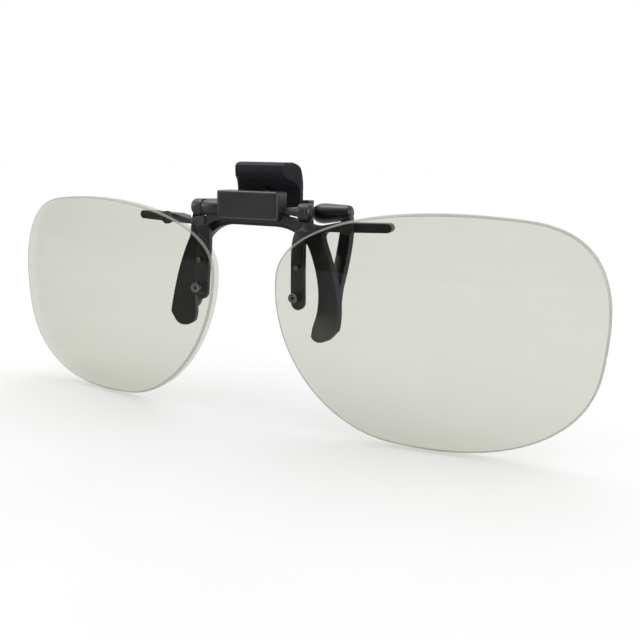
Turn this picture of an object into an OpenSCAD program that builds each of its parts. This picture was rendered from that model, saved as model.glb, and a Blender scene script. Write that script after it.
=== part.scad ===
// Clip-on flip-up sunglasses: two rimless lenses on a bridge that flips about
// a cross rod, carried by a small spring clip with front and rear claws.
// Origin: middle of the cross rod. +X is the wearer's left as seen from the
// front, -Y is the front, +Y is towards the wearer and +Z is up.

/* [Lenses] */
// Half of the lens width, along the lens
lens_half_w = 29; // [28:0.25:30]
// Lens edge height above the lens centre
lens_up = 21.57; // [20:0.25:22]
// Lens edge height below the lens centre
lens_down = 20.07; // [19:0.25:22]
// Lens thickness
lens_t = 1.8; // [1.6:0.1:1.9]
// Radius of the front surface
lens_r = 134; // [120:1:160]
// Distance from the middle plane to the lens centre
lens_x = 35.2; // [35:0.1:35.6]
// Depth of the lens front at its centre
lens_y = -2.3; // [-2.4:0.05:-2.2]
// Height of the lens centre
lens_z = -20; // [-20.5:0.1:-19.5]
// Wrap of each lens about the vertical
lens_wrap = 7.6; // [7:0.1:8.2]
// Tilt of the outline in its own plane
lens_tilt = -5.1; // [-7:0.1:-3]

/* [Hinge block] */
// Half of the block width
block_half_w = 6.6; // [6.4:0.05:6.7]
// Front face of the block
block_front = -1.85; // [-2:0.05:-1.8]
// Rear face of the block
block_rear = 2.35; // [2.3:0.05:2.4]
// Underside of the block
block_bottom = -1.75; // [-1.85:0.05:-1.7]
// Top of the block
block_top = 3.4; // [3.2:0.05:3.5]
// Thickness of the rear cover
cover_t = 0.6; // [0.5:0.05:0.6]

/* [Cross rod] */
// Radius of the steel cross rod
rod_r = 0.4; // [0.35:0.01:0.42]
// Radius of the barrels at its ends
barrel_r = 1.55; // [1.5:0.01:1.56]
// Inner end of the full barrel
barrel_in = 10.4; // [10.2:0.05:10.6]
// Outer end of each barrel
barrel_out = 12.0; // [11.8:0.05:12.1]

/* [Clamp] */
// Depth of the clamp axle
axle_y = 6.9; // [6.85:0.01:6.95]
// Height of the clamp axle
axle_z = -0.15; // [-0.2:0.01:-0.1]
// Radius of the clamp axle
axle_r = 0.5; // [0.45:0.01:0.5]
// Half of the width of the thumb tab
tab_half_w = 6.93; // [6.6:0.01:6.95]
// Top of the thumb tab
tab_top = 8.6; // [8:0.1:9]
// Turn of the claw blades towards the nose
toe_in = 12; // [11:0.5:13]
// Thickness of the claw blades
blade_t = 1.25; // [1.1:0.05:1.3]
// Thickness of the grip pads
pad_t = 0.6; // [0.5:0.05:0.6]

/* [Bridge] */
// Reach of the wings from the middle plane
wing_reach = 27.4; // [26:0.1:28]
// Height of the lower lens rivet
rivet_z = -15.2; // [-15.5:0.1:-15]
// Height of the upper locating pin
pin_z = -9.9; // [-10.2:0.1:-9.7]
// Distance of rivet and pin from the middle plane
rivet_x = 10.6; // [10.5:0.05:10.7]
// Radius of the hollow rivet
rivet_r = 0.85; // [0.8:0.01:0.86]

/* [Hidden] */
fit_gap = 0.02;
run_gap = 0.04;
overlap = 0.1;
touch_gap = 0.01;
round_fn = 48;
dome_fn = 480;

black = [0.09, 0.09, 0.10];
steel = [0.62, 0.63, 0.65];
silicone = [0.16, 0.16, 0.17];
tint = [0.80, 0.82, 0.76, 0.45];

// ---- helpers ----------------------------------------------------------

// A cylinder along X, centred on x0..x1 at depth y and height z.
module bar_x(r, x0, x1, y = 0, z = 0) {
    translate([x0, y, z]) rotate([0, 90, 0]) cylinder(r = r, h = x1 - x0, $fn = round_fn);
}

// A cylinder along Y from y0 to y1.
module bar_y(r, y0, y1, x = 0, z = 0) {
    translate([x, y1, z]) rotate([90, 0, 0]) cylinder(r = r, h = y1 - y0, $fn = round_fn);
}

// A front outline in X and Z pushed from y0 back to y1.
module front_plate(y0, y1) {
    translate([0, y1, 0]) rotate([90, 0, 0]) linear_extrude(height = y1 - y0) children();
}

// A side outline in Y and Z pushed from x0 to x1.
module side_plate(x0, x1) {
    translate([x0, 0, 0]) rotate([90, 0, 90]) linear_extrude(height = x1 - x0) children();
}

// Children, and their mirror image across the middle plane.
module both_sides() {
    children();
    mirror([1, 0, 0]) children();
}

// Points of a cubic curve with end points a, d and handles b, c.
function curve(a, b, c, d, steps = 10) = [
    for (i = [0:steps]) let (t = i / steps, s = 1 - t)
        s * s * s * a + 3 * s * s * t * b + 3 * s * t * t * c + t * t * t * d
];

// Points of an arc about the point c, from angle a0 to angle a1.
function arc(c, r, a0, a1, steps = 10) = [
    for (i = [0:steps]) let (a = a0 + (a1 - a0) * i / steps)
        c + r * [cos(a), sin(a)]
];

// ---- hinge block ------------------------------------------------------

cover_y = block_rear - cover_t;
front_round = 0.8;
top_round = 0.5;
rear_round = 1.2;
rear_top_round = 0.8;
side_round = 0.75;
corner_round = 0.9;
outline_round = 0.8;
past = 1;

// Side outline of the block and its cover.
module block_side() {
    f = block_front;
    b = block_rear;
    polygon(concat(
        arc([f + front_round, block_bottom + front_round], front_round, 180, 270, 6),
        arc([b - rear_round, block_bottom + rear_round], rear_round, 270, 360, 8),
        arc([b - rear_top_round, block_top - rear_top_round], rear_top_round, 0, 90, 6),
        arc([f + top_round, block_top - top_round], top_round, 90, 180, 5)
    ));
}

// Plan outline of the block with rounded corners.
module block_plan() {
    w = block_half_w;
    polygon(concat(
        arc([-w + side_round, block_front + side_round], side_round, 180, 270, 6),
        arc([w - side_round, block_front + side_round], side_round, 270, 360, 6),
        arc([w - corner_round, block_rear - corner_round], corner_round, 0, 90, 6),
        arc([-w + corner_round, block_rear - corner_round], corner_round, 90, 180, 6)
    ));
}

// A rectangle from (x0, z0) to (x1, z1) with corners of radius r.
module round_box(x0, x1, z0, z1, r) {
    polygon(concat(
        arc([x1 - r, z0 + r], r, 270, 360, 6),
        arc([x1 - r, z1 - r], r, 0, 90, 6),
        arc([x0 + r, z1 - r], r, 90, 180, 6),
        arc([x0 + r, z0 + r], r, 180, 270, 6)
    ));
}

// Whole block, rounded in side view, front view and plan.
module block_body() {
    w = block_half_w;
    intersection() {
        side_plate(-w, w) block_side();
        front_plate(block_front - past, block_rear + past)
            round_box(-w, w, block_bottom, block_top, outline_round);
        translate([0, 0, block_bottom - past])
            linear_extrude(height = block_top - block_bottom + 2 * past) block_plan();
    }
}

cam_room_r = 1.12;
cam_half_w = 2;
leaf_half_w = 4.5;
leaf_half_t = 0.8;
leaf_rise = 0.5;
leaf_z = 0.82;
leaf_t = 0.2;
leaf_room_top = 1.58;
screw_x = 5.2;
screw_z = 2.05;
screw_r = 0.35;
screw_front = -0.2;
head_r = 0.56;
head_depth = 0.3;
slot_w = 0.2;
slot_depth = 0.12;
room_gap = 0.1;
cut_depth = 5;
bar_front = 0.92;
bar_top = -0.75;
bar_bottom = -1.35;

module hinge_housing() {
    color(black) difference() {
        intersection() {
            block_body();
            front_plate(block_front - past, cover_y) square(4 * block_half_w, center = true);
        }
        bar_x(rod_r + run_gap, -block_half_w - past, block_half_w + past);
        bar_x(cam_room_r, -cam_half_w - room_gap, cam_half_w + room_gap);
        translate([-leaf_half_w - room_gap, -leaf_half_t - 0.15, leaf_z - 0.05])
            cube([2 * (leaf_half_w + room_gap), cut_depth, leaf_room_top - leaf_z]);
        translate([-cam_half_w - room_gap, 0, -cam_room_r])
            cube([2 * (cam_half_w + room_gap), cut_depth, 2 * cam_room_r]);
        translate([-block_half_w - past, bar_front - fit_gap, bar_bottom - fit_gap])
            cube([2 * (block_half_w + past), cut_depth, bar_top - bar_bottom + 2 * fit_gap]);
        both_sides() bar_y(screw_r + fit_gap, screw_front - 0.1, cut_depth, screw_x, screw_z);
    }
}

module housing_cover() {
    color(black) difference() {
        intersection() {
            block_body();
            front_plate(cover_y, block_rear + past) square(4 * block_half_w, center = true);
        }
        both_sides() bar_y(screw_r + fit_gap, 0, cut_depth, screw_x, screw_z);
        both_sides() bar_y(head_r + run_gap, block_rear - head_depth, cut_depth, screw_x, screw_z);
    }
}

module cover_screws() {
    head_top = block_rear - fit_gap;
    color(steel) both_sides() difference() {
        union() {
            bar_y(screw_r, screw_front, head_top - slot_depth, screw_x, screw_z);
            bar_y(head_r, block_rear - head_depth, head_top, screw_x, screw_z);
        }
        translate([screw_x - slot_w / 2, head_top - slot_depth, screw_z - past])
            cube([slot_w, past, 2 * past]);
    }
}

// Bowed strip that presses on the flat of the cam.
module detent_leaf() {
    low = leaf_z;
    end = leaf_z + leaf_rise;
    half = curve([1.4, low], [2.6, low], [3, end], [leaf_half_w, end]);
    full = concat([for (i = [len(half) - 1:-1:0]) [-half[i][0], half[i][1]]], half);
    color(steel) front_plate(-leaf_half_t, leaf_half_t) polygon(concat(
        full,
        [for (i = [len(full) - 1:-1:0]) full[i] + [0, leaf_t]]
    ));
}

// ---- cross rod --------------------------------------------------------

cam_flat = 0.8;
cam_round_r = 1.05;

module hinge_rod() {
    rod_end = barrel_out - 0.05;
    color(steel) bar_x(rod_r, -rod_end, rod_end);
}

module detent_cam() {
    color(steel) difference() {
        intersection() {
            translate([-cam_half_w, -cam_flat, -cam_flat])
                cube([2 * cam_half_w, 2 * cam_flat, 2 * cam_flat]);
            bar_x(cam_round_r, -cam_half_w, cam_half_w);
        }
        bar_x(rod_r + fit_gap, -cam_half_w - past, cam_half_w + past);
    }
}

// Rounded end cap on each barrel.
module rod_caps() {
    cap_t = 0.9;
    color(black) both_sides() translate([barrel_out, 0, 0]) rotate([0, 90, 0])
        rotate_extrude($fn = round_fn) polygon(concat(
            [[0, 0], [barrel_r, 0]],
            curve([barrel_r, 0.1], [barrel_r, 0.6], [1.1, cap_t], [0, cap_t], 8)
        ));
}

// ---- front jaw --------------------------------------------------------

blade_x = 13.35;
blade_y = 1.3;
arch_front = 1.6;
arch_rear = 3.4;
arch_top = -2.43;
arch_bottom = -3.1;
blade_near = 5;
blade_top = -2.6;
tip_bend = 28;
tip_bend_r = 21;
tip_bend_z = -14;
foot_top = 0.75;
foot_bottom = -0.7;
foot_w = 1.4;
arm_bottom = -1;
ear_in = 7.15;
ear_out = 8.9;
ear_r = 1.2;
neck_in = 6.75;
neck_r = 0.52;

// Half of the wishbone as seen from the front: arch, shoulder and upright.
module jaw_front() {
    polygon(concat(
        [[-0.01, arch_bottom]],
        curve([4.6, arch_bottom], [7.2, -3.2], [9.3, -4.0], [10.9, -6.0]),
        [[11.7, -7.0], [12.6, -7.0], [13.6, -5.6]],
        curve([14.0, -4.6], [14.0, -4.1], [14.3, -3.7], [14.9, -3.5], 5),
        curve([12.9, -3.3], [12.2, -3.2], [11.4, -2.8], [11.3, -2.0], 5),
        [[11.3, foot_top], [9.6, foot_top]],
        curve([9.6, -1.2], [9.2, -1.9], [8.2, arch_top], [6.4, arch_top], 6),
        [[-0.01, arch_top]]
    ));
}

// One blade as seen from the front.
module blade_front() {
    polygon(concat(
        curve([9.9, -4.9], [11.7, -8.0], [13.3, -11.5], [13.35, -16.4]),
        curve([13.35, -18.0], [13.3, -19.4], [12.95, -20.2], [12.95, -21.2], 6),
        curve([13.1, -22.5], [14.0, -23.5], [16.0, -23.6], [17.1, -22.4]),
        curve([18.3, -20.9], [18.3, -17.6], [17.5, -13.2], [15.2, -7.6]),
        curve([14.9, -6.9], [14.5, -6.0], [14.0, -5.2], [13.9, -3.6], 5)
    ));
}

// Grip pad on one blade as seen from the front.
module blade_pad_front() {
    polygon(concat(
        curve([13.1, -12.6], [13.7, -14.4], [13.9, -16.0], [13.9, -17.4], 6),
        curve([13.8, -19.4], [13.5, -20.6], [13.9, -22.0], [15.3, -22.2], 6),
        curve([16.6, -22.2], [17.4, -20.8], [17.4, -18.2], [16.9, -15.8], 6),
        curve([16.5, -13.9], [16.0, -11.8], [14.2, -10.9], [13.1, -12.6], 8)
    ));
}

// Side outline of a layer of a blade, from near to far behind its front face.
module blade_side(near, far) {
    c = [blade_y - tip_bend_r, tip_bend_z];
    polygon(concat(
        [[blade_y + near, blade_top]],
        arc(c, tip_bend_r + near, 0, -tip_bend, 12),
        arc(c, tip_bend_r + far, -tip_bend, 0, 12),
        [[blade_y + far, blade_top]]
    ));
}

// Turns a blade towards the nose about its inner edge.
module toed() {
    translate([blade_x, 0, 0]) rotate([0, 0, -toe_in]) translate([-blade_x, 0, 0]) children();
}

module front_blade() {
    toed() intersection() {
        side_plate(blade_near, claw_far) blade_side(0, blade_t);
        front_plate(-14, 6) blade_front();
    }
}

// Arm that runs back from the upright to the ear on the clamp axle.
module jaw_arm() {
    translate([0, 0, arm_bottom]) linear_extrude(height = foot_top - arm_bottom) polygon([
        [9.6, arch_front], [11.3, arch_front], [11.3, 3.9], [ear_out, 6.2],
        [ear_out, 7.9], [ear_in, 7.9], [ear_in, 5.9], [9.6, 3.5]
    ]);
}

// Tapered neck between the block and the full barrel.
module barrel_neck() {
    translate([neck_in, 0, 0]) rotate([0, 90, 0])
        cylinder(r1 = neck_r, r2 = 2 * neck_r, h = barrel_in - neck_in + overlap, $fn = round_fn);
}

// Ear round the clamp axle at the rear of an arm.
module jaw_ear() {
    side_plate(ear_in, ear_out) polygon(concat(
        [[5.9, -0.6]],
        arc([axle_y, axle_z], ear_r, 205, 335, 8),
        [[8.1, 1.7], [6.0, 1.7]]
    ));
}

module front_jaw() {
    color(black) difference() {
        union() {
            both_sides() {
                front_plate(arch_front, arch_rear) jaw_front();
                front_blade();
                bar_x(barrel_r, barrel_in, barrel_out);
                translate([barrel_in, 0, foot_bottom])
                    cube([foot_w, 2, foot_top - foot_bottom]);
                jaw_arm();
                jaw_ear();
            }
            barrel_neck();
        }
        bar_x(rod_r + fit_gap, -barrel_out - past, barrel_out + past);
        bar_x(axle_r + run_gap, -ear_out - past, ear_out + past, axle_y, axle_z);
    }
}

// Soft pads on the backs of the blades.
module front_pads() {
    color(silicone) both_sides() toed() intersection() {
        side_plate(blade_near, claw_far) blade_side(blade_t, blade_t + pad_t);
        front_plate(-14, 6) blade_pad_front();
    }
}

// ---- clamp ------------------------------------------------------------

tab_front = 6.4;
tab_t = 1.0;
hub_r = 0.95;
lip_angle = 25.3;
lip_y = 2.7;
tab_far = 10;
tab_round = 0.9;
notch_w = 0.9;
notch_z = 3.1;
notch_depth = 0.6;
spring_half_w = 2.0;
spring_room_w = 4.6;
spring_wire = 0.18;

// Side outline of the thumb tab with its rolled lip.
module tab_side() {
    f = tab_front;
    b = tab_front + tab_t;
    polygon(concat(
        [[f, 0.7]],
        curve([f, 2.6], [f - 0.1, 4.2], [5.7, 4.9], [4.4, 5.4], 12),
        curve([3.3, 5.85], [2.75, 6.4], [lip_y, 7.0], [2.75, 7.4], 7),
        curve([2.85, 8.0], [3.3, 8.4], [3.8, tab_top], [4.5, tab_top], 8),
        curve([5.4, tab_top], [6.7, 7.6], [b - 0.15, 6.2], [b, 4.6], 8),
        [[b, 0.2], [axle_y, 0.2], [axle_y, 0.7]]
    ));
}

// Space inside one slanted end of the lip, which narrows towards the front.
module lip_end() {
    translate([tab_half_w, tab_front, 0]) rotate([0, 0, -lip_angle])
        front_plate(-tab_far, tab_far)
            round_box(-4 * tab_half_w, 0, -tab_far, tab_top, tab_round);
}

module thumb_tab() {
    color(black) difference() {
        union() {
            intersection() {
                side_plate(-tab_half_w, tab_half_w) tab_side();
                front_plate(0, tab_far) round_box(-tab_half_w, tab_half_w, 0, tab_top, tab_round);
                lip_end();
                mirror([1, 0, 0]) lip_end();
            }
            bar_x(hub_r, -tab_half_w, tab_half_w, axle_y, axle_z);
        }
        bar_x(axle_r + fit_gap, -tab_half_w - past, tab_half_w + past, axle_y, axle_z);
        both_sides() bar_y(key_r + fit_gap, axle_y, tab_far, tab_key_x, axle_z);
        translate([-spring_room_w / 2, axle_y - 1.6, axle_z - 2]) cube([spring_room_w, 3.2, 3.4]);
        translate([-notch_w / 2, tab_front - past, notch_z])
            cube([notch_w, past + notch_depth, notch_w]);
    }
}

axle_end = 12.2;
key_r = 0.2;
tab_key_x = 5;
claw_key_x = 11.6;
claw_key_top = 1.3;

module clamp_axle() {
    color(steel) bar_x(axle_r, -axle_end, axle_end, axle_y, axle_z);
}

// Small cross pins that key tab and claws to the axle.
module axle_keys() {
    color(steel) both_sides() {
        bar_y(key_r, axle_y + axle_r, axle_y + hub_r - 0.05, tab_key_x, axle_z);
        bar_y(key_r, axle_y + axle_r, axle_y + claw_key_top, claw_key_x, axle_z);
    }
}

// Coil round the axle with one leg on the tab and one on the arch.
module clamp_spring() {
    coil_r = 0.82;
    turns = 11;
    pitch = 2 * spring_half_w / (turns - 1) * 0.9;
    w = spring_wire;
    color(steel) {
        for (i = [0:turns - 1])
            translate([(i - (turns - 1) / 2) * pitch, axle_y, axle_z]) rotate([0, 90, 0])
                rotate_extrude($fn = round_fn) translate([coil_r, 0]) circle(r = w + 0.01, $fn = 16);
        translate([0, axle_y - coil_r, axle_z]) cylinder(r = w, h = 3.4, $fn = 16);
        translate([-1.8, axle_y - 0.2, axle_z - coil_r]) rotate([111, 0, 0])
            cylinder(r = w, h = 3.7, $fn = 16);
    }
}

rear_y = 3.25;
claw_near = 12;
claw_far = 22;

// Tapered arm of the rear claw.
module rear_arm() {
    translate([9.75, 6.6, -0.72]) rotate([0, 86, 0]) rotate_extrude($fn = round_fn)
        polygon(concat(
            [[0, 0]],
            curve([0.6, 0.02], [1.6, 0.2], [1.88, 1.1], [1.88, 2.3], 8),
            curve([1.38, 7.1], [1.36, 7.55], [1.15, 7.8], [0.6, 7.85], 6),
            [[0, 7.85]]
        ));
}

// One rear claw as seen from the front.
module rear_front() {
    polygon(concat(
        [[14.0, -0.7], [15.9, -0.7]],
        curve([16.2, -2.2], [16.6, -4.5], [16.6, -9.2], [16.1, -14.0]),
        curve([15.9, -17.0], [15.8, -21.6], [13.4, -21.6], [13.3, -17.5], 10),
        curve([13.4, -14.0], [13.9, -10.0], [14.0, -7.0], [14.0, -3.5])
    ));
}

// Grip pad on one rear claw as seen from the front.
module rear_pad_front() {
    polygon(concat(
        arc([14.6, -12.8], 1.0, 180, 0, 10),
        arc([14.55, -19.0], 1.0, 0, -180, 10)
    ));
}

// Side outline of a rear claw: it leans forward to meet the front pads.
module rear_side(y, t) {
    polygon(concat(
        curve([y + 2.9, -0.3], [y + 2.9, -3.5], [y + 1.6, -8.0], [y + 0.15, -14.0], 10),
        curve([y, -15.5], [y - 0.1, -18.0], [y - 0.4, -20.0], [y - 1.0, -22.5], 6),
        curve([y - 1.0 + t, -22.5], [y - 0.4 + t, -20.0], [y - 0.1 + t, -18.0], [y + t, -15.5], 6),
        curve([y + 0.15 + t, -14.0], [y + 1.6 + t, -8.0], [y + 2.9 + t, -3.5], [y + 2.9 + t, -0.3], 10)
    ));
}

module rear_claw() {
    difference() {
        union() {
            rear_arm();
            toed() intersection() {
                side_plate(claw_near, claw_far) rear_side(rear_y + pad_t, blade_t);
                front_plate(-2, 12) rear_front();
            }
        }
        bar_x(axle_r + fit_gap, tab_half_w, axle_end + run_gap, axle_y, axle_z);
        bar_y(key_r + fit_gap, axle_y, axle_y + claw_key_top + run_gap, claw_key_x, axle_z);
    }
}

module rear_claw_right() {
    color(black) rear_claw();
}

module rear_claw_left() {
    color(black) mirror([1, 0, 0]) rear_claw();
}

module rear_pads() {
    color(silicone) both_sides() toed() intersection() {
        side_plate(claw_near, claw_far) rear_side(rear_y, pad_t);
        front_plate(-2, 12) rear_pad_front();
    }
}

// ---- flip bridge ------------------------------------------------------

wing_sweep = 7.4;
wing_front = -0.64;
wing_x = 10.3;
wing_in = 10.2;
wing_t = 1.6;
wing_tip_t = 2.45;
wing_step = 15.8;
band_front = -0.3;
band_rear = 1.2;
bar_end = 7.3;
leg_t = 0.8;
washer_t = 0.15;
washer_r = 1.2;
sleeve_r = 1.4;
tip_r = 0.8;
band_bottom = -2.3;
sleeve_out = 10.34;

// Wing and shoulder as seen from the front.
module wing_front_outline(x0) {
    polygon(concat(
        [[x0, -3.4], [x0, -1.72], [11.6, -1.72]],
        curve([11.6, -1.72], [12.6, -2.0], [13.2, -2.4], [14.4, -2.3], 5),
        [[17.6, -1.6]],
        arc([wing_reach - tip_r, -2.22], tip_r, 90, -90, 10),
        [[19, -3.25], [x0, -3.4]]
    ));
}

// Short leg that carries one lens.
module leg_front_outline() {
    polygon(concat(
        [[10.3, -1.9], [9.7, -3.2]],
        curve([9.5, -3.4], [9.0, -4.4], [8.8, -5.6], [8.85, -7.6], 6),
        [[9.2, -16.2]],
        arc([10.6, -16.3], 1.38, 180, 360, 10),
        [[11.6, -7.6]],
        curve([11.5, -5.6], [11.5, -4.4], [12.1, -3.6], [13.4, -3.3], 5),
        [[13.4, -2.6], [11.6, -1.9]]
    ));
}

// Band of the bridge that passes just under the block.
module band_outline() {
    polygon(concat(
        [[-0.01, block_bottom - fit_gap], [7.4, block_bottom - fit_gap]],
        curve([8.2, -1.8], [9.0, -1.9], [9.6, -2.1], [10.2, -2.4], 5),
        [[10.2, -3.3], [9.7, -3.3]],
        curve([9.0, -2.9], [8.4, -2.5], [7.6, band_bottom], [6.4, band_bottom], 5),
        [[-0.01, band_bottom]]
    ));
}

module shoulder_outline() {
    polygon(concat(
        [[6.65, -0.85], [8.8, -1.2]],
        curve([9.2, -1.3], [9.6, -1.5], [9.9, -1.72], [10.4, -1.75], 4),
        [[10.4, -3.4], [9.7, -3.3]],
        curve([9.2, -2.9], [8.6, -2.3], [8.0, -1.9], [6.65, -1.65], 5)
    ));
}

// Space inside the back of a lens, set back by a gap.
module behind_lens(gap) {
    translate([lens_x, lens_y, lens_z]) rotate([0, 0, lens_wrap])
        translate([0, lens_r, 0]) sphere(r = lens_r - lens_t - gap, $fn = dome_fn);
}

module swept() {
    translate([wing_x, wing_front, 0]) rotate([0, 0, wing_sweep])
        translate([-wing_x, -wing_front, 0]) children();
}

// Half of the bridge: the bar in the block, the shoulder, the wing and the leg.
module bridge_half() {
    translate([-0.01, bar_front, bar_bottom])
        cube([bar_end, cover_y - bar_front - fit_gap, bar_top - bar_bottom]);
    front_plate(band_front, band_rear) shoulder_outline();
    front_plate(band_front, band_rear) band_outline();
    swept() front_plate(wing_front, wing_front + wing_t) wing_front_outline(wing_in);
    swept() intersection() {
        front_plate(wing_front, wing_front + wing_tip_t) wing_front_outline(wing_in);
        side_plate(wing_step, wing_reach + past) square(4 * wing_tip_t, center = true);
    }
    difference() {
        intersection() {
            front_plate(-3, 2) leg_front_outline();
            behind_lens(washer_t);
        }
        behind_lens(washer_t + leg_t);
    }
}

module lens_bridge() {
    color(black) difference() {
        union() {
            both_sides() bridge_half();
            bar_x(sleeve_r, -sleeve_out, -block_half_w - run_gap);
        }
        bar_x(rod_r + run_gap, -sleeve_out - past, -block_half_w);
        both_sides() bar_y(shank_r + fit_gap, -cut_depth, 2, rivet_x, rivet_z);
        both_sides() bar_y(pin_r + fit_gap, -cut_depth, 2, rivet_x, pin_z);
    }
}

// ---- lenses -----------------------------------------------------------

lens_sides = 30;
blank_depth = 16;

// A quarter of a superellipse from the side point to the upper or lower point.
function lens_quarter(side, tip, power, steps) = [
    for (i = [0:steps - 1]) let (a = 90 * i / steps)
        [tip[0] + (side[0] - tip[0]) * pow(cos(a), 2 / power),
         side[1] + (tip[1] - side[1]) * pow(sin(a), 2 / power)]
];

function reversed(list) = [for (i = [len(list) - 1:-1:0]) list[i]];

// Lens outline: four superellipse quarters between its extreme points.
function lens_outline(n) = let (
    outer = [lens_half_w, 0.46],
    inner = [-lens_half_w, 5.95],
    upper = [11.4, lens_up],
    lower = [-4.0, -lens_down]
) concat(
    lens_quarter(outer, upper, 2.72, n), [upper],
    reversed(lens_quarter(inner, upper, 2.06, n)),
    lens_quarter(inner, lower, 1.87, n), [lower],
    reversed(lens_quarter(outer, lower, 2.37, n))
);

module lens_blank() {
    translate([lens_x, lens_y, lens_z]) rotate([0, 0, lens_wrap]) intersection() {
        rotate([90, 0, 0]) linear_extrude(height = blank_depth, center = true)
            rotate([0, 0, lens_tilt]) polygon(lens_outline(lens_sides));
        difference() {
            translate([0, lens_r, 0]) sphere(r = lens_r, $fn = dome_fn);
            translate([0, lens_r, 0]) sphere(r = lens_r - lens_t, $fn = dome_fn);
        }
    }
}

module one_lens() {
    difference() {
        lens_blank();
        bar_y(rivet_r + fit_gap, -2 * cut_depth, cut_depth, rivet_x, rivet_z);
        bar_y(pin_r + fit_gap, pin_front - fit_gap, cut_depth, rivet_x, pin_z);
    }
}

module right_lens() {
    color(tint) one_lens();
}

module left_lens() {
    color(tint) mirror([1, 0, 0]) one_lens();
}

pin_r = 0.35;
pin_front = -2;
rivet_front = -3.3;
collar_back = -1.34;
shank_r = rivet_r - 0.2;
hollow_r = 0.4;
hollow_depth = 1.6;
pin_back = -0.1;

module lens_rivets() {
    color(black) both_sides() difference() {
        union() {
            bar_y(rivet_r, rivet_front, collar_back, rivet_x, rivet_z);
            bar_y(shank_r, collar_back - overlap, -0.3, rivet_x, rivet_z);
            intersection() {
                bar_y(rivet_r, -1, -0.15, rivet_x, rivet_z);
                behind_lens(washer_t + leg_t + touch_gap);
            }
        }
        bar_y(hollow_r, rivet_front - past, rivet_front + hollow_depth, rivet_x, rivet_z);
    }
}

module locating_pins() {
    color(black) both_sides() bar_y(pin_r, pin_front, pin_back, rivet_x, pin_z);
}

// Soft washer on a pin or rivet of radius r at height z, filling the gap to the leg.
module washer(r, z) {
    difference() {
        intersection() {
            bar_y(washer_r, -3, 1, rivet_x, z);
            behind_lens(touch_gap);
        }
        behind_lens(washer_t - touch_gap);
        bar_y(r + fit_gap, -cut_depth, cut_depth, rivet_x, z);
    }
}

module lens_washers() {
    color(silicone) both_sides() {
        washer(rivet_r, rivet_z);
        washer(pin_r, pin_z);
    }
}

buffer_x = 19.5;
buffer_z = -2.4;
buffer_r = 1.25;
buffer_t = 0.7;
dish_r = 0.8;
dish_depth = 0.15;

// Round dished buffers between the wings and the backs of the lenses.
module wing_buffers() {
    color(silicone) both_sides() swept() difference() {
        bar_y(buffer_r, wing_front - buffer_t, wing_front, buffer_x, buffer_z);
        bar_y(dish_r, wing_front - past, wing_front - buffer_t + dish_depth, buffer_x, buffer_z);
    }
}

hinge_housing();
housing_cover();
cover_screws();
detent_leaf();
hinge_rod();
detent_cam();
rod_caps();
front_jaw();
front_pads();
clamp_spring();
thumb_tab();
clamp_axle();
axle_keys();
rear_claw_left();
rear_claw_right();
rear_pads();
lens_bridge();
left_lens();
right_lens();
lens_rivets();
locating_pins();
lens_washers();
wing_buffers();
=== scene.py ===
"""Looks of the clip-on flip-up sunglasses: materials, rounded edges, lenses, light and camera.

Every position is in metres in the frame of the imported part: +X to the lens on the right,
-Y to the front and +Z up, with the origin in the middle of the cross rod.
"""
import math

import bmesh
import bpy
from mathutils import Matrix, Vector


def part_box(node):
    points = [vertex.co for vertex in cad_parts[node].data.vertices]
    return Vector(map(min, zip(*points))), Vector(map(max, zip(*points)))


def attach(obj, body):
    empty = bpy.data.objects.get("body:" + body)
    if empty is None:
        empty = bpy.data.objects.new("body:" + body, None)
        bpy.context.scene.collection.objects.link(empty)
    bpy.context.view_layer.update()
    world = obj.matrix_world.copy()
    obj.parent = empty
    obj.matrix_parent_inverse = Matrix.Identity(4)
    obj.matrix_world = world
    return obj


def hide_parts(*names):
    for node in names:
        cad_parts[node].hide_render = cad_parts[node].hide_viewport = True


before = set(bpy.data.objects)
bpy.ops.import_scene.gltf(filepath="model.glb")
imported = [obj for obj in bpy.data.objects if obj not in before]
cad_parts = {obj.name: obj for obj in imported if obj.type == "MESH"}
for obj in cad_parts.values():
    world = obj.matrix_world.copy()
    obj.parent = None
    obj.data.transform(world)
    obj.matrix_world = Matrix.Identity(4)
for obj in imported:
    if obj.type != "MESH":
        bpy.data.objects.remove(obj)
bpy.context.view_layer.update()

MM = 0.001
# Width of the rounded plastic edges. The pale edge tone below is a painted highlight, a colour
# standing in for the light that rounded edges catch.
ROUNDED_EDGE_WIDTH = 0.16 * MM
EDGE_HIGHLIGHT_TONE = (0.085, 0.085, 0.09)
GRAIN = 0.004 * MM
STEEL_GRAIN = 0.002 * MM
STEEL_EDGE = 0.05 * MM
PIT_DEPTH = 0.012 * MM
PIT_EDGE = 0.12 * MM

# Part of the noise range that carries most of its values.
NOISE_LOW = 0.3
NOISE_HIGH = 0.7

# Cosine between the rounded and the plain normal where the painted edge highlight starts and is
# full.
EDGE_START = 0.985
EDGE_FULL = 0.86


# ---- materials ---------------------------------------------------------

def new_material(name):
    """An empty node material with its Principled shader and output."""
    material = bpy.data.materials.new(name)
    material.use_nodes = True
    nodes = material.node_tree.nodes
    return material, nodes, material.node_tree.links, nodes["Principled BSDF"]


def noise(nodes, links, scale, detail=4.0, stretch=(1, 1, 1)):
    """Noise in the coordinates of the piece, with scale in features per metre."""
    place = nodes.new("ShaderNodeTexCoord")
    mapping = nodes.new("ShaderNodeMapping")
    mapping.inputs["Scale"].default_value = stretch
    texture = nodes.new("ShaderNodeTexNoise")
    texture.inputs["Scale"].default_value = scale
    texture.inputs["Detail"].default_value = detail
    links.new(place.outputs["Object"], mapping.inputs["Vector"])
    links.new(mapping.outputs["Vector"], texture.inputs["Vector"])
    return texture.outputs["Fac"]


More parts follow.
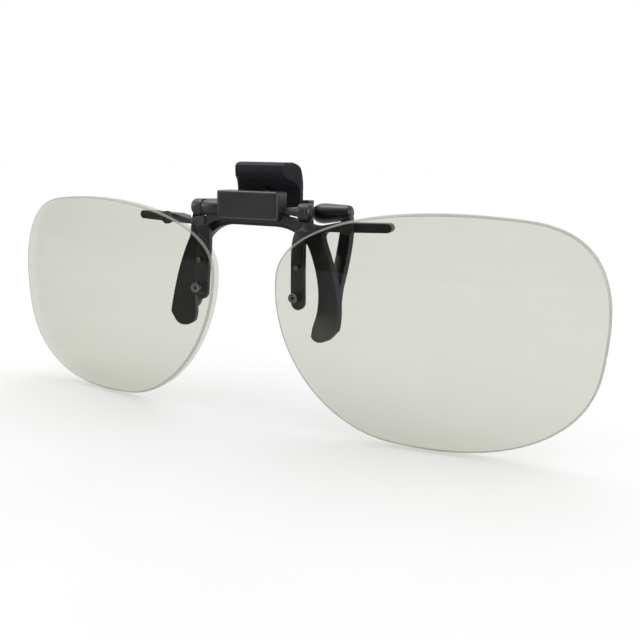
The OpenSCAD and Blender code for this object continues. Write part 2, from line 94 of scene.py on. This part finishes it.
def ramp(nodes, links, source, low, high, start=NOISE_LOW, end=NOISE_HIGH):
    """Colours from low to high, driven by source."""
    node = nodes.new("ShaderNodeValToRGB")
    node.color_ramp.elements[0].position = start
    node.color_ramp.elements[1].position = end
    node.color_ramp.elements[0].color = (*low, 1)
    node.color_ramp.elements[1].color = (*high, 1)
    links.new(source, node.inputs["Fac"])
    return node.outputs["Color"]


def spread(nodes, links, source, low, high):
    """A value from low to high, driven by source."""
    node = nodes.new("ShaderNodeMapRange")
    node.inputs["From Min"].default_value = NOISE_LOW
    node.inputs["From Max"].default_value = NOISE_HIGH
    node.inputs["To Min"].default_value = low
    node.inputs["To Max"].default_value = high
    links.new(source, node.inputs["Value"])
    return node.outputs["Result"]


def bump(nodes, links, source, height, soft_edge=None):
    """A surface normal from source, on edges that look rounded by soft_edge."""
    node = nodes.new("ShaderNodeBump")
    node.inputs["Strength"].default_value = 1.0
    node.inputs["Distance"].default_value = height
    links.new(source, node.inputs["Height"])
    if soft_edge:
        bevel = nodes.new("ShaderNodeBevel")
        bevel.samples = 6
        bevel.inputs["Radius"].default_value = soft_edge
        links.new(bevel.outputs["Normal"], node.inputs["Normal"])
    return node.outputs["Normal"]


def mixed(nodes, links, factor, first, second):
    """A colour that goes from first to second, each a socket or a plain colour."""
    node = nodes.new("ShaderNodeMix")
    node.data_type = "RGBA"
    sockets = [i for i in node.inputs if i.enabled]
    for socket, value in zip(sockets, (factor, first, second)):
        if isinstance(value, bpy.types.NodeSocket):
            links.new(value, socket)
        else:
            socket.default_value = (*value, 1)
    return next(o for o in node.outputs if o.enabled)


def edge_mask(nodes, links, width):
    """1 on convex and concave edges and 0 on plain surfaces; it places the painted edge highlight.
    """
    bevel = nodes.new("ShaderNodeBevel")
    bevel.samples = 8
    bevel.inputs["Radius"].default_value = width
    surface = nodes.new("ShaderNodeNewGeometry")
    dot = nodes.new("ShaderNodeVectorMath")
    dot.operation = "DOT_PRODUCT"
    links.new(bevel.outputs["Normal"], dot.inputs[0])
    links.new(surface.outputs["True Normal"], dot.inputs[1])
    node = nodes.new("ShaderNodeMapRange")
    node.inputs["From Min"].default_value = EDGE_START
    node.inputs["From Max"].default_value = EDGE_FULL
    links.new(dot.outputs["Value"], node.inputs["Value"])
    return node.outputs["Result"]


def plastic(name, low, high, rough, sheen, highlight_tone=EDGE_HIGHLIGHT_TONE):
    """Moulded black plastic: mottled colour, fine grain and a painted highlight on the rounded
    edges.
    """
    material, nodes, links, shader = new_material(name)
    cloud = noise(nodes, links, 260)
    fine = noise(nodes, links, 5200, 6)
    body_tone = ramp(nodes, links, cloud, low, high)
    # Painted highlight: the rounded edges get a paler colour in place of the light they catch.
    edge_highlight = edge_mask(nodes, links, ROUNDED_EDGE_WIDTH)
    tone = mixed(nodes, links, edge_highlight, body_tone, highlight_tone)
    links.new(tone, shader.inputs["Base Color"])
    links.new(spread(nodes, links, cloud, rough[0], rough[1]), shader.inputs["Roughness"])
    links.new(bump(nodes, links, fine, GRAIN, ROUNDED_EDGE_WIDTH), shader.inputs["Normal"])
    shader.inputs["Specular IOR Level"].default_value = sheen
    return material


def steel(name):
    """Ground steel: fine lines round the pins and slight colour changes."""
    material, nodes, links, shader = new_material(name)
    lines = noise(nodes, links, 2600, 8, (12, 1, 1))
    tone = ramp(nodes, links, lines, (0.42, 0.43, 0.45), (0.68, 0.69, 0.71))
    links.new(tone, shader.inputs["Base Color"])
    links.new(spread(nodes, links, lines, 0.22, 0.4), shader.inputs["Roughness"])
    links.new(bump(nodes, links, lines, STEEL_GRAIN, STEEL_EDGE), shader.inputs["Normal"])
    shader.inputs["Metallic"].default_value = 1.0
    return material


def silicone(name):
    """Soft grip material: darker, matte and finely pitted."""
    material, nodes, links, shader = new_material(name)
    pits = noise(nodes, links, 3800, 3)
    tone = ramp(nodes, links, pits, (0.010, 0.010, 0.012), (0.022, 0.022, 0.026))
    links.new(tone, shader.inputs["Base Color"])
    links.new(spread(nodes, links, pits, 0.62, 0.8), shader.inputs["Roughness"])
    links.new(bump(nodes, links, pits, PIT_DEPTH, PIT_EDGE), shader.inputs["Normal"])
    return material


# How the lens tint fades in its palest spots and deepens when seen at a slant.
THIN_POWER = 0.94
SLANT_POWER = 1.55
# Share of light that a lens face mirrors, seen straight on and at a grazing angle.
MIRROR_FACING = 0.012
MIRROR_GRAZING = 0.6
GRAZING_POWER = 5
POLISH = 0.02


def lens_face(name, tint):
    """Thin tinted lens: light passes straight through, tinted more when seen at a slant."""
    material, nodes, links, shader = new_material(name)
    nodes.remove(shader)
    output = nodes["Material Output"]
    weight = nodes.new("ShaderNodeLayerWeight")
    weight.inputs["Blend"].default_value = 0.5
    cloud = noise(nodes, links, 45, 2)
    thin = tuple(c ** THIN_POWER for c in tint)
    thick = tuple(c ** SLANT_POWER for c in tint)
    mottled = ramp(nodes, links, cloud, thin, tint, 0.2, 0.8)
    slanted = mixed(nodes, links, weight.outputs["Facing"], mottled, thick)
    through = nodes.new("ShaderNodeBsdfTransparent")
    links.new(slanted, through.inputs["Color"])
    shine = nodes.new("ShaderNodeBsdfGlossy")
    shine.inputs["Roughness"].default_value = POLISH
    grazing = nodes.new("ShaderNodeMath")
    grazing.operation = "POWER"
    grazing.inputs[1].default_value = GRAZING_POWER
    mirror_share = nodes.new("ShaderNodeMapRange")
    mirror_share.inputs["To Min"].default_value = MIRROR_FACING
    mirror_share.inputs["To Max"].default_value = MIRROR_GRAZING
    mix = nodes.new("ShaderNodeMixShader")
    links.new(weight.outputs["Facing"], grazing.inputs[0])
    links.new(grazing.outputs["Value"], mirror_share.inputs["Value"])
    links.new(mirror_share.outputs["Result"], mix.inputs["Fac"])
    links.new(through.outputs["BSDF"], mix.inputs[1])
    links.new(shine.outputs["BSDF"], mix.inputs[2])
    links.new(mix.outputs["Shader"], output.inputs["Surface"])
    return material


def lens_edge(name, low, high, clear, frosted):
    """Ground lens edge: its frosted share is matt, the rest lets light through tinted by clear."""
    material, nodes, links, shader = new_material(name)
    output = nodes["Material Output"]
    grind = noise(nodes, links, 3000, 5)
    tone = ramp(nodes, links, grind, low, high)
    links.new(tone, shader.inputs["Base Color"])
    links.new(spread(nodes, links, grind, 0.3, 0.45), shader.inputs["Roughness"])
    links.new(bump(nodes, links, grind, GRAIN), shader.inputs["Normal"])
    through = nodes.new("ShaderNodeBsdfTransparent")
    through.inputs["Color"].default_value = (*clear, 1)
    mix = nodes.new("ShaderNodeMixShader")
    mix.inputs["Fac"].default_value = frosted
    links.new(through.outputs["BSDF"], mix.inputs[1])
    links.new(shader.outputs["BSDF"], mix.inputs[2])
    links.new(mix.outputs["Shader"], output.inputs["Surface"])
    return material


def floor_material():
    """Pale studio floor with a very faint grain."""
    material, nodes, links, shader = new_material("studio_floor")
    grain = noise(nodes, links, 30, 2)
    tone = ramp(nodes, links, grain, (0.83, 0.83, 0.83), (0.85, 0.85, 0.85))
    links.new(tone, shader.inputs["Base Color"])
    shader.inputs["Roughness"].default_value = 0.9
    return material


satin = plastic(
    "satin_black", (0.009, 0.009, 0.010), (0.015, 0.015, 0.016), (0.34, 0.44), 0.36)
cool = plastic(
    "cool_black", (0.008, 0.009, 0.011), (0.013, 0.014, 0.017), (0.36, 0.46), 0.33)
# Matte black painted lighter than the other blacks. It is painted fill light for the shaded hollow
# of the thumb tab, and the housing cover shares it.
fill_painted_black = plastic(
    "matte_black_painted_fill", (0.025, 0.025, 0.030), (0.032, 0.032, 0.038), (0.42, 0.52), 0.05)
gloss = plastic(
    "gloss_black", (0.005, 0.005, 0.006), (0.010, 0.010, 0.012), (0.30, 0.40), 0.4)
# The pale edge tone of the rivets and pins is a painted highlight on their rims.
rivet = plastic(
    "rivet_black", (0.006, 0.006, 0.007), (0.012, 0.012, 0.013), (0.2, 0.3), 0.6,
    (0.6, 0.6, 0.62))
ground_steel = steel("ground_steel")
soft_grip = silicone("soft_grip")

FINISH = {
    "hinge_housing": satin, "housing_cover": fill_painted_black, "lens_bridge": satin,
    "front_jaw": cool, "thumb_tab": fill_painted_black, "rod_caps": gloss,
    "rear_claw_left": gloss, "rear_claw_right": gloss,
    "lens_rivets": rivet, "locating_pins": rivet,
    "front_pads": soft_grip, "rear_pads": soft_grip,
    "lens_washers": soft_grip, "wing_buffers": soft_grip,
}

# Width in millimetres of the rounded edges of each CAD node; the rest stay as they are.
ROUNDING = {
    "hinge_housing": 0.14, "housing_cover": 0.10, "front_jaw": 0.2, "thumb_tab": 0.5,
    "lens_bridge": 0.2, "rear_claw_left": 0.16, "rear_claw_right": 0.16,
    "front_pads": 0.12, "rear_pads": 0.12, "lens_rivets": 0.10, "wing_buffers": 0.10,
}

JOIN_DISTANCE = 0.0005 * MM
ROUND_STEPS = 3
SHARP_ANGLE = math.radians(32)


def finish_node(name):
    """Gives a carried CAD node its material and, where it has one, its rounded edges."""
    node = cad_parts[name]
    node.data.materials.clear()
    node.data.materials.append(FINISH.get(name, ground_steel))
    for polygon in node.data.polygons:
        polygon.material_index = 0
    if name in ROUNDING:
        weld = node.modifiers.new("join", "WELD")
        weld.merge_threshold = JOIN_DISTANCE
        bevel = node.modifiers.new("round", "BEVEL")
        bevel.width = ROUNDING[name] * MM
        bevel.segments = ROUND_STEPS
        bevel.limit_method = "ANGLE"
        bevel.angle_limit = SHARP_ANGLE
        bevel.harden_normals = True


# ---- lenses ------------------------------------------------------------

# Shape of the right lens: lengths in LENS without MM are in millimetres.
LENS = {
    "centre": Vector((35.2, -2.3, -20.0)) * MM,
    "wrap": math.radians(7.6), "tilt": math.radians(-5.1),
    "radius": 134 * MM, "thickness": 1.8 * MM,
    "outer": (29.0, 0.46), "inner": (-29.0, 5.95),
    "upper": (11.4, 21.57), "lower": (-4.0, -20.07),
    "powers": (2.72, 2.06, 1.87, 2.37),
}
EDGE_ROUND = 0.5 * MM
FACE, FRONT_EDGE, WALL = 0, 1, 2
EDGE_STEPS = 4
RIM_POINTS = 240
FINE_STEPS = 20
RINGS = 26


def rim_point(turn):
    """Point of the lens outline, in millimetres, for a turn from 0 to 4 quarters."""
    quarter = int(turn) % 4
    angle = (turn - int(turn)) * math.pi / 2
    ends = (LENS["outer"], LENS["upper"], LENS["inner"], LENS["lower"])
    side_first = quarter % 2 == 0
    side, tip = (ends[quarter], ends[(quarter + 1) % 4])
    if not side_first:
        side, tip = tip, side
        angle = math.pi / 2 - angle
    power = 2 / LENS["powers"][quarter]
    x = tip[0] + (side[0] - tip[0]) * max(math.cos(angle), 0.0) ** power
    z = side[1] + (tip[1] - side[1]) * max(math.sin(angle), 0.0) ** power
    return Vector((x, z))


def even_rim(count):
    """Outline points at even spacing, so that the rim shades smoothly."""
    total = count * FINE_STEPS
    fine = [rim_point(4 * i / total) for i in range(total)]
    fine.append(fine[0])
    lengths = [0.0]
    for a, b in zip(fine, fine[1:]):
        lengths.append(lengths[-1] + (b - a).length)
    points = []
    at = 0
    for i in range(count):
        want = lengths[-1] * i / count
        while lengths[at + 1] < want:
            at += 1
        share = (want - lengths[at]) / max(lengths[at + 1] - lengths[at], 1e-9)
        points.append(fine[at].lerp(fine[at + 1], share))
    return points


def lens_rows():
    """Rings of the lens from front to back, each as (share, inset, depth).

    share scales the outline about its middle, inset draws it in from the edge and depth is
    the distance behind the front. The last two values are where the edge starts and ends.
    """
    thickness = LENS["thickness"]
    steps = range(1, RINGS + 1)
    rows = [(math.sin(i / RINGS * math.pi / 2), EDGE_ROUND * i / RINGS, 0.0) for i in steps]
    edge_start = len(rows)
    for step in range(1, EDGE_STEPS + 1):
        turn = step / EDGE_STEPS * math.pi / 2
        rows.append((1.0, EDGE_ROUND * (1 - math.sin(turn)), EDGE_ROUND * (1 - math.cos(turn))))
    for step in range(0, EDGE_STEPS + 1):
        turn = step / EDGE_STEPS * math.pi / 2
        depth = thickness - EDGE_ROUND * (1 - math.sin(turn))
        rows.append((1.0, EDGE_ROUND * (1 - math.cos(turn)), depth))
    edge_end = len(rows)
    for i in range(RINGS - 1, 0, -1):
        rows.append((math.sin(i / RINGS * math.pi / 2), EDGE_ROUND * i / RINGS, thickness))
    return rows, edge_start, edge_end


def lens_point(flat, depth, side):
    """A point of the outline plane, moved to the sphere that is depth behind the front."""
    x, z = Matrix.Rotation(LENS["tilt"], 2) @ flat * MM
    sphere = LENS["radius"] - depth
    y = LENS["radius"] - math.sqrt(sphere * sphere - x * x - z * z)
    point = Matrix.Rotation(LENS["wrap"], 3, "Z") @ Vector((x, y, z)) + LENS["centre"]
    return Vector((side * point.x, point.y, point.z))


def build_lens(name, side, node):
    """One lens with domed faces and a rounded, ground edge. side is 1 or -1."""
    rim = even_rim(RIM_POINTS)
    middle = sum(rim, Vector((0, 0))) / len(rim)
    rows, edge_start, edge_end = lens_rows()
    count = len(rim)
    verts, faces, kinds = [], [], []
    for share, inset, depth in rows:
        for p in rim:
            out = p - middle
            flat = middle + out * share - out.normalized() * (inset / MM)
            verts.append(lens_point(flat, depth, side))
    for r in range(len(rows) - 1):
        kind = FACE
        if edge_start - 1 <= r < edge_end - 1:
            kind = FRONT_EDGE if r < edge_start + 2 else WALL
        here, below = r * count, (r + 1) * count
        for k in range(count):
            n = (k + 1) % count
            faces.append((here + k, here + n, below + n, below + k))
            kinds.append(kind)
    for ring, depth in ((0, 0.0), (len(rows) - 1, LENS["thickness"])):
        hub = len(verts)
        verts.append(lens_point(middle, depth, side))
        for k in range(count):
            faces.append((hub, ring * count + k, ring * count + (k + 1) % count))
            kinds.append(FACE)
    mesh = bpy.data.meshes.new(name)
    mesh.from_pydata([tuple(v) for v in verts], [], faces)
    for material in (tinted, edge, wall):
        mesh.materials.append(material)
    for polygon, kind in zip(mesh.polygons, kinds):
        polygon.material_index = kind
        polygon.use_smooth = True
    shell = bmesh.new()
    shell.from_mesh(mesh)
    bmesh.ops.recalc_face_normals(shell, faces=shell.faces)
    shell.to_mesh(mesh)
    shell.free()
    lens = bpy.data.objects.new(name, mesh)
    bpy.context.scene.collection.objects.link(lens)
    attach(lens, "lens_carrier")
    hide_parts(node)


tinted = lens_face("lens_tint", (0.826, 0.834, 0.798))
edge = lens_edge(
    "lens_ground_edge", (0.42, 0.41, 0.37), (0.52, 0.51, 0.46), (0.66, 0.65, 0.60), 0.5)
wall = lens_edge(
    "lens_wall", (0.50, 0.50, 0.46), (0.62, 0.62, 0.58), (0.84, 0.845, 0.81), 0.04)

for node_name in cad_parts:
    finish_node(node_name)
build_lens("right_lens_polished", 1, "right_lens")
build_lens("left_lens_polished", -1, "left_lens")


# ---- stage, light and camera -------------------------------------------

# Brightness that the surroundings add from the front and from above.
FRONT_LIGHT = 0.12
TOP_LIGHT = 0.75
FLOOR_SIZE = 6
FLOOR_GAP = 0.2 * MM
SENSOR_WIDTH = 36
FOCAL_LENGTH = 42.38


def area_light(name, place, aim, size, power):
    """A square soft box at place that faces aim, seen in reflections only."""
    data = bpy.data.lights.new(name, "AREA")
    data.size = size
    data.energy = power
    lamp = bpy.data.objects.new(name, data)
    lamp.location = place
    lamp.visible_diffuse = False
    lamp.rotation_euler = (Vector(aim) - Vector(place)).to_track_quat("-Z", "Y").to_euler()
    bpy.context.scene.collection.objects.link(lamp)


def build_stage():
    """Pale floor just under the lenses."""
    floor_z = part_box("right_lens")[0].z - FLOOR_GAP
    bpy.ops.mesh.primitive_plane_add(size=FLOOR_SIZE, location=(0, 0, floor_z))
    floor = bpy.context.object
    floor.name = "studio_floor"
    floor.data.materials.append(floor_material())


def build_world():
    """White surroundings for the camera; for the object, a studio that is darker in front."""
    world = bpy.data.worlds.new("studio")
    world.use_nodes = True
    nodes, links = world.node_tree.nodes, world.node_tree.links
    back = nodes["Background"]
    direction = nodes.new("ShaderNodeTexCoord")
    axes = nodes.new("ShaderNodeSeparateXYZ")
    links.new(direction.outputs["Generated"], axes.inputs["Vector"])
    ahead = nodes.new("ShaderNodeMapRange")
    ahead.inputs["From Min"].default_value = -0.9
    ahead.inputs["From Max"].default_value = 0.3
    ahead.inputs["To Min"].default_value = FRONT_LIGHT
    ahead.inputs["To Max"].default_value = 1.0
    links.new(axes.outputs["Y"], ahead.inputs["Value"])
    above = nodes.new("ShaderNodeMapRange")
    above.inputs["From Min"].default_value = 0.35
    above.inputs["From Max"].default_value = 0.85
    above.inputs["To Min"].default_value = 0.0
    above.inputs["To Max"].default_value = TOP_LIGHT
    above.interpolation_type = "SMOOTHSTEP"
    links.new(axes.outputs["Z"], above.inputs["Value"])
    total = nodes.new("ShaderNodeMath")
    links.new(ahead.outputs["Result"], total.inputs[0])
    links.new(above.outputs["Result"], total.inputs[1])
    path = nodes.new("ShaderNodeLightPath")
    seen = nodes.new("ShaderNodeMix")
    seen.inputs[3].default_value = 1.0
    links.new(path.outputs["Is Camera Ray"], seen.inputs[0])
    links.new(total.outputs["Value"], seen.inputs[2])
    links.new(seen.outputs[0], back.inputs["Strength"])
    back.inputs["Color"].default_value = (1, 1, 1, 1)
    bpy.context.scene.world = world


def build_camera():
    """Camera at the viewing angle of the photograph."""
    right = Vector((0.893, 0.449, 0.017)).normalized()
    back = Vector((0.436, -0.876, 0.208))
    back = (back - right * back.dot(right)).normalized()
    up = back.cross(right)
    data = bpy.data.cameras.new("camera")
    data.sensor_width = SENSOR_WIDTH
    data.lens = FOCAL_LENGTH
    data.clip_start = 0.001
    camera = bpy.data.objects.new("camera", data)
    turn = Matrix((right, up, back)).transposed().to_4x4()
    camera.matrix_world = Matrix.Translation(Vector((74.33, -119.82, 9.16)) * MM) @ turn
    bpy.context.scene.collection.objects.link(camera)
    bpy.context.scene.camera = camera


bpy.context.scene.view_settings.view_transform = "Standard"
build_stage()
build_world()
area_light("top_box", (-0.18, 0.02, 0.36), (0, 0, 0), 0.20, 0.9)
area_light("left_box", (-0.40, -0.22, 0.14), (0, 0, -0.01), 0.14, 1.0)
area_light("right_box", (0.40, -0.12, 0.10), (0, 0, -0.01), 0.14, 1.2)
build_camera()
